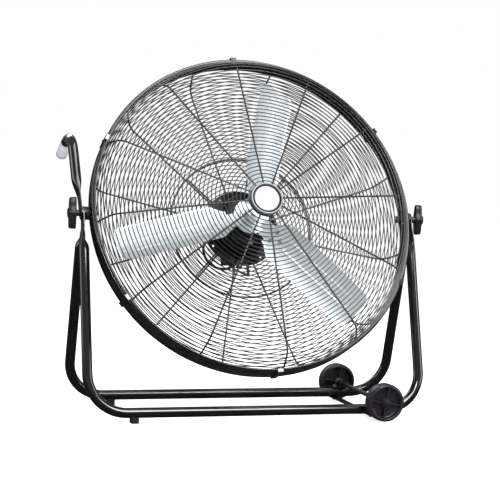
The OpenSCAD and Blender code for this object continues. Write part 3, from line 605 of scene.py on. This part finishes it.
def axle_saddle(y):
    """Folded saddle over the axle with a flange for its bolt."""
    height = WHEEL_R
    outline = [(-10, BRACKET_TOP + 0.15), (10, BRACKET_TOP + 0.15), (10, height - 2)]
    for k in range(9):
        angle = math.radians(12 + 156 * k / 8)
        outline.append((10 * math.cos(angle), height + 9 * math.sin(angle) * 0.95))
    outline.append((-10, height - 2))
    block = plate([(AXLE_X + x, z) for x, z in outline], -10, 10, 1.0)
    upright = placed(block, moved(0, y, 0) @ turned("X", 90))
    flange = bar((20, 20, 3), (BOLT_X + 2, y, BRACKET_TOP + 1.65), 0.8)
    return join(upright, flange)


stand_for("axle_brackets", join(axle_saddle(-LEG_SPREAD), axle_saddle(LEG_SPREAD)), FLOOR_FRAME)

BRACE_TOP = 11.9
brace = bar((22, 2 * LEG_SPREAD + 24, 2.5), (BOLT_X, 0, BRACE_TOP - 1.25), 0.6)
stand_for("axle_brace", brace, FLOOR_FRAME)


def push_cap():
    profile = [(AXLE_R + 0.1, 0.3), (9, 0.3), (9, 1.2), (7.4, 1.6), (6.9, 3.6)]
    profile += [(5.5, 4.3), (2.5, 4.5), (0.01, 4.5), (0.01, 3.2), (AXLE_R + 0.1, 3.2)]
    return lathe(profile, 32)


WHEEL_OUT = 186
caps = join(
    placed(push_cap(), turned("X", -90) @ moved(0, 0, WHEEL_OUT)),
    placed(push_cap(), turned("X", 90) @ moved(0, 0, WHEEL_OUT)),
)
stand_for("axle_caps", caps, AXLE)


def wheel_shape():
    """Moulded wheel: crowned tread, deep dished faces, ribs and a hub."""
    half = [(AXLE_R + 0.1, 0.4), (AXLE_R + 0.6, 0.0), (10.6, 0.0), (11.3, 0.8), (12.2, 11.5),
            (13.4, 13.0), (35.5, 13.6), (37.2, 12.4), (38.6, 1.6), (39.6, 0.5), (41.0, 0.0),
            (42.4, 0.2), (43.6, 1.0), (44.6, 2.4), (46.3, 3.4), (47.2, 5.0), (47.5, 7.5),
            (47.5, 10.4), (47.1, 10.8), (47.1, 11.6), (47.5, 12.0)]
    other = [(r, WHEEL_W - z) for r, z in reversed(half)]
    shapes = [lathe(half + other, 96)]
    for face in (0, 1):
        for angle in range(4):
            rib = bar((27.5, 3.4, 11.2), (24.6, 0, 8.2), 1.2)
            if face:
                rib = placed(rib, moved(0, 0, WHEEL_W) @ turned("X", 180))
            shapes.append(placed(rib, turned("Z", 10 + 90 * angle)))
    return join(*shapes)


for wheel_name, centre in WHEEL_CENTRES.items():
    middle = Matrix.Translation(centre) @ SCALE @ turned("X", -90) @ moved(0, 0, -WHEEL_W / 2)
    stand_for(wheel_name, wheel_shape(), middle)

# ---------------------------------------------------------------- head: band and guards


def drum_band():
    """Sheet band with a rolled bead along each edge."""
    bead, sheet = 3.5, 0.7
    middle = DRUM_R - bead
    low, high = DRUM_BACK + bead, DRUM_FRONT - bead
    profile = []
    for k in range(11):
        angle = math.radians(-10 - 18.0 * k)
        profile.append((middle + bead * math.cos(angle), low + bead * math.sin(angle)))
    profile += [(middle - sheet, low + bead * 0.9), (middle - sheet, high - bead * 0.9)]
    for k in range(11):
        angle = math.radians(190 - 18.0 * k)
        profile.append((middle + bead * math.cos(angle), high + bead * math.sin(angle)))
    profile += [(middle + sheet, high - bead * 0.9), (middle + sheet, low + bead * 0.9)]
    return lathe(profile, 192)


stand_for("drum_band", drum_band(), HEAD, crease=50.0)


def guard_corner(path):
    """The two straights' unit directions, the bend's angle and its setback."""
    a = Vector(path[1]) - Vector(path[0])
    b = Vector(path[2]) - Vector(path[1])
    angle = a.angle(b)
    return a.normalized(), b.normalized(), angle, GUARD_BEND_R * math.tan(angle / 2)


def guard_point(path, s):
    """Ring centre (radius, height) at distance s along the guard, outside its spokes."""
    a, b, angle, setback = guard_corner(path)
    face = (Vector(path[1]) - Vector(path[0])).length - setback
    bend = GUARD_BEND_R * angle

    def left(v):
        return Vector((-v.y, v.x))

    if s < face:
        return Vector(path[0]) + a * s + left(a) * RING_OFFSET
    if s < face + bend:
        centre = Vector(path[0]) + a * face - left(a) * GUARD_BEND_R
        swing = (s - face) / GUARD_BEND_R
        out = left(a) * math.cos(swing) + a * math.sin(swing)
        return centre + out * (GUARD_BEND_R + RING_OFFSET)
    return Vector(path[1]) + b * (s - face - bend + setback) + left(b) * RING_OFFSET


def guard_length(path):
    """Length of the guard's line from its inner end to the last place for a ring."""
    _, _, angle, setback = guard_corner(path)
    first = (Vector(path[1]) - Vector(path[0])).length
    second = (Vector(path[2]) - Vector(path[1])).length
    return first + second - 2 * setback + GUARD_BEND_R * angle - LAST_RING_INSET


def guard_rings(path):
    rings = []
    s = FIRST_RING
    while s <= guard_length(path):
        radius, height = guard_point(path, s)
        rings.append(torus(radius, height, RING_WIRE))
        s += RING_PITCH
    return join(*rings)


def guard_spokes(path, first_angle):
    line = rounded([(r, 0, z) for r, z in path], [GUARD_BEND_R, RIM_BEND_R], step=5.0)
    spoke = sweep(line, SPOKE_WIRE / 2, 10, normal=(0, 1, 0))
    angles = [first_angle + k * 360 / SPOKES for k in range(SPOKES)]
    return join(*(placed(spoke, turned("Z", angle)) for angle in angles))


BEHIND = HEAD @ Matrix.Scale(-1, 4, (0, 0, 1))
stand_for("front_guard_rings", guard_rings(FRONT_PATH), HEAD)
stand_for("front_guard_spokes", guard_spokes(FRONT_PATH, FRONT_SPOKE_ANGLE), HEAD)
stand_for("front_guard_rim", torus(*FRONT_RIM, RIM_WIRE, 192, 12), HEAD)
stand_for("rear_guard_rings", guard_rings(REAR_PATH), BEHIND)
stand_for("rear_guard_spokes", guard_spokes(REAR_PATH, REAR_SPOKE_ANGLE), BEHIND)
stand_for("rear_guard_rim", torus(*REAR_RIM, RIM_WIRE, 192, 12), BEHIND)

SUPPORT_IN = 92
SUPPORT_SIDE = -5.5
SUPPORT_RING_R = 187
SUPPORT_RING_D = 5.5


def support_wires():
    """Four wires, one beside every third spoke, and the thicker ring that they end on."""
    slope = (REAR_PATH[1][1] - REAR_PATH[0][1]) / (REAR_PATH[1][0] - REAR_PATH[0][0])

    def height(r):
        return REAR_PATH[0][1] + (r - REAR_PATH[0][0]) * slope

    wires = []
    for k in range(1, 11, 3):
        ends = [(r, SUPPORT_SIDE, height(r)) for r in (SUPPORT_IN, SUPPORT_RING_R)]
        wire = sweep(ends, SPOKE_WIRE / 2, 10)
        wires.append(placed(wire, turned("Z", REAR_SPOKE_ANGLE + 30 * k)))
    ring_height = height(SUPPORT_RING_R) - (SPOKE_WIRE + SUPPORT_RING_D) / 2 - WELD_GAP
    return join(torus(SUPPORT_RING_R, ring_height, SUPPORT_RING_D, 128, 10), *wires)


stand_for("motor_support_wires", support_wires(), BEHIND)


def guard_clip():
    """Bent strap over the band with hooked ends."""
    back = -REAR_RIM[1] - RIM_WIRE / 2 - 0.4
    front = FRONT_RIM[1] + RIM_WIRE / 2 + 0.4
    thick = 1.6
    hook = 7.6
    inside = DRUM_R + 0.2
    outline = [(inside - hook, back), (inside - hook, back - thick), (inside, back - thick),
               (inside + thick, back + 0.2), (inside + thick, front - 0.2),
               (inside, front + thick), (inside - hook, front + thick), (inside - hook, front),
               (inside - 0.4, front), (inside, front - 0.6), (inside, back + 0.6),
               (inside - 0.4, back)]
    rings = []
    for y, inset in ((-7, 0.25), (-6.6, 0), (6.6, 0), (7, 0.25)):
        middle = inside + thick / 2
        rings.append([(middle + (x - middle) * (1 - inset * 0.2), y, z) for x, z in outline])
    return loft(rings)


clips = [placed(guard_clip(), turned("Z", CLIP_ANGLE + 60 * k)) for k in range(6)]
stand_for("guard_clips", join(*clips), HEAD)

# ---------------------------------------------------------------- head: badge

BADGE_TOP = BADGE_Z + 5.4
badge_plate = [(0.01, BADGE_Z - 4.5), (BADGE_R - 1, BADGE_Z - 4.5), (BADGE_R, BADGE_Z - 3.7),
               (BADGE_R, BADGE_Z - 1.5), (BADGE_R - 0.6, BADGE_Z - 1.0), (0.01, BADGE_Z - 1.0)]
stand_for("badge_plate", lathe(badge_plate, 96), HEAD)
badge_ring = [(36, BADGE_TOP - 1), (41.4, BADGE_TOP - 1), (42, BADGE_TOP - 0.4),
              (41.8, BADGE_TOP + 1.8), (41.0, BADGE_TOP + 3.2), (39.8, BADGE_TOP + 4.3),
              (38.4, BADGE_TOP + 4.6), (37.0, BADGE_TOP + 4.2), (36.2, BADGE_TOP + 3.2),
              (36, BADGE_TOP + 2.0)]
stand_for("badge_ring", lathe(badge_ring, 96), HEAD)
badge_disc = [(0.01, BADGE_Z - 0.9), (24, BADGE_Z - 0.9), (24, BADGE_TOP), (31.6, BADGE_TOP),
              (32, BADGE_TOP + 0.4), (31.8, BADGE_TOP + 1.6), (30.8, BADGE_TOP + 2.2)]
badge_disc += [(r, BADGE_TOP + 3.4 - 1.2 * (r / 30.8) ** 2) for r in (26, 19, 12, 6, 0.01)]
stand_for("badge_disc", lathe(badge_disc, 96), HEAD, crease=60.0)

# ---------------------------------------------------------------- head: motor


def motor_shell():
    """Domed end shell with a ring of raised ribs, open side up."""
    depth = 26
    profile = [(8, 0.4), (17, 0.0), (20, 1.2), (22, 3.2), (52, 4.2), (62, 5.4), (67.5, 8.0),
               (70.6, 11.5), (71.8, 15.5), (72, depth), (69.5, depth), (69.4, 16), (67.6, 12.4),
               (61, 8.0), (50, 6.8), (20, 6.0), (8, 6.0)]
    ribs = []
    for k in range(36):
        rib = bar((2.6, 1.6, 14), (70.8, 0, 17.5), 0.5, 1)
        ribs.append(placed(rib, turned("Z", 10 * k)))
    for k in range(12):
        rib = bar((28, 2.2, 2.4), (40, 0, 3.9), 0.7)
        ribs.append(placed(rib, turned("Z", 15 + 30 * k)))
    return join(lathe(profile, 96), *ribs)


FRONT_SHELL = HEAD @ moved(0, 0, MOTOR_FRONT) @ turned("X", 180)
stand_for("motor_rear_shell", motor_shell(), HEAD @ moved(0, 0, MOTOR_BACK))
stand_for("motor_front_shell", motor_shell(), FRONT_SHELL)

LEAD_ROUTE = [
    (-70, -19, -80), (-82, -23, -82), (-94, -31, -85), (-102, -43, -87), (-105, -58, -87),
    (-104, -74, -87), (-98, -89, -87), (-87, -101, -87), (-73, -109, -87), (-57, -112, -87),
    (-41, -109, -87), (-28, -100, -87), (-20, -90, -89), (-18, -82, -95), (-18, -79, -103),
    (-18, -79, -111),
]


def smooth_route(points, parts=5):
    """Catmull-Rom curve through the points."""
    points = [Vector(p) for p in points]
    out = []
    for i in range(len(points) - 1):
        a, b = points[max(i - 1, 0)], points[i]
        c, d = points[i + 1], points[min(i + 2, len(points) - 1)]
        for k in range(parts):
            t = k / parts
            out.append(0.5 * (2 * b + (c - a) * t + (2 * a - 5 * b + 4 * c - d) * t ** 2
                              + (3 * b - a - 3 * c + d) * t ** 3))
    out.append(points[-1])
    return out


stand_for("motor_lead", sweep(smooth_route(LEAD_ROUTE), 3.45, 16), HEAD)

BOX_LEFT, BOX_LOW, BOX_W, BOX_H, BOX_DEPTH = -48, -88, 60, 62, 40
BOX_BACK = PLATE_Z - 1.3 - BOX_DEPTH


def switch_box():
    """Moulded box with a stepped rim and four corner screw bosses."""
    centre = (BOX_LEFT + BOX_W / 2, BOX_LOW + BOX_H / 2)
    body = bar((BOX_W - 1.6, BOX_H - 1.6, BOX_DEPTH), (*centre, BOX_BACK + BOX_DEPTH / 2), 3.0, 3)
    rim = bar((BOX_W, BOX_H, 6), (*centre, BOX_BACK + BOX_DEPTH - 3), 1.5, 2)
    cover = bar((BOX_W - 8, BOX_H - 8, 2), (*centre, BOX_BACK + 0.6), 0.6)
    bosses = []
    for side in (-1, 1):
        for end in (-1, 1):
            spot = (centre[0] + side * (BOX_W / 2 - 8), centre[1] + end * (BOX_H / 2 - 8))
            boss = lathe([(0.01, -1.0), (3.0, -1.0), (3.4, -0.6), (3.4, 1), (0.01, 1)], 20)
            bosses.append(placed(boss, moved(*spot, BOX_BACK)))
    return join(body, rim, cover, *bosses)


stand_for("switch_box", switch_box(), HEAD)

SWITCH_AT = (-30, -44)


def speed_knob():
    """Fluted knob with a pointer rib on its face."""
    rings = []
    for z, r in ((-0.6, 11.6), (-1.4, 12.0), (-5, 12.0), (-12.6, 11.0), (-13.8, 10.2), (-14, 9.6)):
        ring = []
        for k in range(72):
            angle = 2 * math.pi * k / 72
            flute = 0.35 * max(math.cos(18 * angle), 0) if z < -1 else 0
            ring.append(((r - flute) * math.cos(angle), (r - flute) * math.sin(angle), z))
        rings.append(ring)
    pointer = bar((2.6, 10, 1.6), (0, 5.5, -14.2), 0.5)
    spindle = lathe([(0.01, -1), (3, -1), (3, 8.2), (0.01, 8.2)], 24)
    return join(loft(rings), pointer, spindle)


stand_for("speed_knob", speed_knob(), HEAD @ moved(*SWITCH_AT, BOX_BACK))

# ---------------------------------------------------------------- rotor


def half_chord(u):
    """Half of the blade's width at radius u: narrow root, full middle, rounded tip."""
    full, root, tip = BLADE_W / 2, 30.0, 26.0
    width = root + (full - root) * smooth_step((u - 60) / 46)
    past = u - (BLADE_R - tip)
    if past > 0:
        width = full - tip + math.sqrt(max(tip * tip - past * past, 0.0))
    return width


def stamping(u, y):
    """Height of the stamped panel: two long ridges that meet in a round end near the tip."""
    middle, half_length, half_width, corner = 222, 112, 15, 13
    dx = max(abs(u - middle) - (half_length - corner), 0)
    dy = max(abs(y - 4) - (half_width - corner), 0)
    away = math.hypot(dx, dy) - corner
    ridge = 1.3 * math.exp(-((away / 1.7) ** 2))
    panel = 0.7 * smooth_step((1.5 - away) / 3)
    hem = 0.6 * smooth_step((abs(y) - half_chord(u) + 3.5) / 2.5)
    return ridge - panel + hem


def blade_shape():
    """Pressed sheet blade, cambered across its chord, with its length and chord as UVs."""
    thick, stations, across = 1.5, 116, 60
    points, uv, faces = [], [], []
    span = BLADE_R - BLADE_ROOT
    for side in (0, 1):
        for i in range(stations + 1):
            u = BLADE_ROOT + span * i / stations
            if i == stations:
                u = BLADE_R - 0.02
            for j in range(across + 1):
                y = half_chord(u) * (2 * j / across - 1)
                z = CAMBER_R - math.sqrt(CAMBER_R ** 2 - y * y) + stamping(u, y)
                points.append((u, y, z + side * thick))
                uv.append((u * MM, y * MM))
    row = across + 1
    layer = (stations + 1) * row
    for i in range(stations):
        for j in range(across):
            a = i * row + j
            faces.append((a, a + 1, a + row + 1, a + row))
            faces.append((layer + a, layer + a + row, layer + a + row + 1, layer + a + 1))
    border = list(range(across))
    border += [i * row + across for i in range(stations)]
    border += [stations * row + j for j in range(across, 0, -1)]
    border += [i * row for i in range(stations, 0, -1)]
    for a, b in zip(border, border[1:] + border[:1]):
        faces.append((b, a, a + layer, b + layer))
    return (points, faces), uv


def blade_turn(number):
    """From a blade's own frame, X along its length, to the head's."""
    spin = turned("Z", BLADE_ANGLE + 120 * (number - 1))
    return spin @ moved(0, 0, HUB_Z) @ turned("X", BLADE_PITCH)


blade, blade_uv = blade_shape()
for number in BLADE_NUMBERS:
    stand_for(f"blade_{number}", blade, HEAD @ blade_turn(number), uv=blade_uv)


def spider_shape():
    """Pressed hub plate with three curved arms under the blades."""
    arms = []
    for number in BLADE_NUMBERS:
        rings = []
        for i in range(20):
            u = 34 + 78 * i / 19
            half = 21 - 3 * smooth_step((u - 90) / 22)
            upper, lower = [], []
            for j in range(13):
                y = half * (2 * j / 12 - 1)
                z = CAMBER_R - math.sqrt(CAMBER_R ** 2 - y * y) - 0.05
                upper.append((u, y, z))
                lower.append((u, y, z - 3))
            rings.append(upper + lower[::-1])
        arms.append(placed(loft(rings), blade_turn(number)))
    disc = [(20.1, HUB_Z - 6.2), (45.4, HUB_Z - 6.2), (46, HUB_Z - 5.4), (46, HUB_Z - 3),
            (45.4, HUB_Z - 2.2), (20.1, HUB_Z - 2.2)]
    return join(lathe(disc, 72), *arms)


stand_for("blade_spider", spider_shape(), HEAD)
hub = [(6.05, HUB_Z - 18), (19, HUB_Z - 18), (20, HUB_Z - 17), (20, HUB_Z - 2), (29.4, HUB_Z - 2),
       (30, HUB_Z - 1.4), (30, HUB_Z + 2.4), (29.4, HUB_Z + 3), (20.4, HUB_Z + 3),
       (20, HUB_Z + 3.6), (20, HUB_Z + 16.8), (18.8, HUB_Z + 18), (6.05, HUB_Z + 18)]
stand_for("blade_hub", lathe(hub, 72), HEAD)

# ---------------------------------------------------------------- knobs


def wing_knob(neck_x):
    """Two-lobed wing with a dished hub face, lying along Z, its axis along X."""
    rings = []
    for x, shrink in ((447.6, 0.8), (448.4, 0.0), (459.0, 0.3), (463.2, 0.9), (464.6, 2.0),
                      (465.0, 3.2)):
        ring = []
        for k in range(64):
            angle = 2 * math.pi * k / 64
            c, s = math.cos(angle), math.sin(angle)
            lobe = abs(s) ** 1.4
            reach_z = (39 - shrink) * math.copysign(abs(s) ** 0.75, s)
            reach_y = (8.6 + 4.4 * (1 - smooth_step(abs(reach_z) / 20)) - shrink * 0.8)
            width = reach_y * math.copysign(abs(c) ** (0.55 + 0.3 * lobe), c)
            ring.append((x, width, reach_z))
        rings.append(ring)
    wing = loft(rings)
    along_x = turned("Y", 90)
    hub_profile = [(0.01, 448), (12.4, 448), (13, 449), (13, 465.6), (12.2, 467.1), (11, 467.5),
                   (9.6, 467.1), (9.0, 466.2), (0.01, 465.8)]
    hub_part = placed(lathe(hub_profile, 48), along_x)
    neck = placed(lathe([(5.05, neck_x), (7.6, neck_x), (8, neck_x + 0.6), (8, 448.5),
                         (5.05, 448.5)], 40), along_x)
    return join(wing, hub_part, neck)


RIGHT = AT_PIVOT
LEFT = AT_PIVOT @ Matrix.Scale(-1, 4, (1, 0, 0))
stand_for("left_knob", wing_knob(HANDLE_PLATE_X + PLATE_T / 2 + 0.3), LEFT)
stand_for("right_knob", wing_knob(OUTER_PLATE_X + PLATE_T / 2 + 0.3), RIGHT)

# ---------------------------------------------------------------- floor, light, camera

FLOOR_SIZE = 80.0
floor_mesh = bpy.data.meshes.new("floor")
floor_corners = ((-1, -1), (1, -1), (1, 1), (-1, 1))
floor_mesh.from_pydata([(FLOOR_SIZE * x, FLOOR_SIZE * y, 0.0) for x, y in floor_corners], [],
                       [(0, 1, 2, 3)])
floor = bpy.data.objects.new("floor", floor_mesh)
bpy.context.scene.collection.objects.link(floor)
pale = material("pale_floor", (0.9, 0.9, 0.9), (0.88, 0.88, 0.88), roughness=0.7, stain_scale=1.2)
floor_shader = pale.node_tree.nodes["Principled BSDF"]
floor_shader.inputs["Emission Color"].default_value = (1, 1, 1, 1)
floor_shader.inputs["Emission Strength"].default_value = 0.8
floor_mesh.materials.append(pale)
# Below the horizon the glossy black paint mirrors the darker world instead of the pale floor.
floor.visible_glossy = False


def area_light(name, place, aim, size, power):
    lamp = bpy.data.lights.new(name, "AREA")
    lamp.shape = "RECTANGLE"
    lamp.size, lamp.size_y = size
    lamp.energy = power
    holder = bpy.data.objects.new(name, lamp)
    holder.location = place
    holder.rotation_euler = (Vector(aim) - Vector(place)).to_track_quat("-Z", "Y").to_euler()
    holder.visible_camera = False
    bpy.context.scene.collection.objects.link(holder)


CENTRE = (0.0, 0.0, 0.45)
area_light("front_softbox", (0.62, -2.05, 2.15), CENTRE, (1.1, 1.4), 58)
area_light("top_softbox", (0.5, -0.5, 3.1), CENTRE, (1.8, 1.2), 30)
area_light("left_strip", (-2.4, 0.6, 1.2), CENTRE, (1.0, 2.0), 14)
area_light("right_strip", (2.3, -1.3, 1.1), CENTRE, (0.4, 1.8), 20)
area_light("front_fill", (-0.5, -3.2, 2.6), CENTRE, (0.9, 0.6), 30)
area_light("back_softbox", (-0.5, 2.4, 2.2), CENTRE, (1.8, 1.2), 34)

world = bpy.data.worlds.new("studio")
bpy.context.scene.world = world
world.use_nodes = True
sky = world.node_tree
backdrop = sky.nodes["Background"]
backdrop.inputs["Color"].default_value = (1.0, 1.0, 1.0, 1.0)
direction = sky.nodes.new("ShaderNodeTexCoord")
height = sky.nodes.new("ShaderNodeSeparateXYZ")
sky.links.new(direction.outputs["Generated"], height.inputs["Vector"])
room = sky.nodes.new("ShaderNodeMapRange")
room.inputs["From Min"].default_value = -0.12
room.inputs["From Max"].default_value = 0.2
room.inputs["To Min"].default_value = 0.03
room.inputs["To Max"].default_value = 0.26
sky.links.new(height.outputs["Z"], room.inputs["Value"])
seen = sky.nodes.new("ShaderNodeLightPath")
level = sky.nodes.new("ShaderNodeMapRange")
level.inputs["To Max"].default_value = 1.0
sky.links.new(seen.outputs["Is Camera Ray"], level.inputs["Value"])
sky.links.new(room.outputs["Result"], level.inputs["To Min"])
sky.links.new(level.outputs["Result"], backdrop.inputs["Strength"])
bpy.context.scene.view_settings.view_transform = "Standard"

SENSOR = 36.0
LENS = 116.2
AZIMUTH = math.radians(17.83)
ELEVATION = math.radians(4.19)
ROLL = math.radians(2.15)
DISTANCE = 4.0717
TARGET = PIVOT + Vector((0.0008, 0.0, -0.0847))

forward = Vector((math.sin(AZIMUTH) * math.cos(ELEVATION), math.cos(AZIMUTH) * math.cos(ELEVATION),
                  -math.sin(ELEVATION)))
level_right = forward.cross(Vector((0, 0, 1))).normalized()
level_up = level_right.cross(forward)
right = math.cos(ROLL) * level_right + math.sin(ROLL) * level_up
up = right.cross(forward)
camera_data = bpy.data.cameras.new("camera")
camera_data.sensor_width = SENSOR
camera_data.lens = LENS
camera = bpy.data.objects.new("camera", camera_data)
camera.matrix_world = Matrix.Translation(TARGET - forward * DISTANCE) @ columns(right, up, -forward)
bpy.context.scene.collection.objects.link(camera)
bpy.context.scene.camera = camera
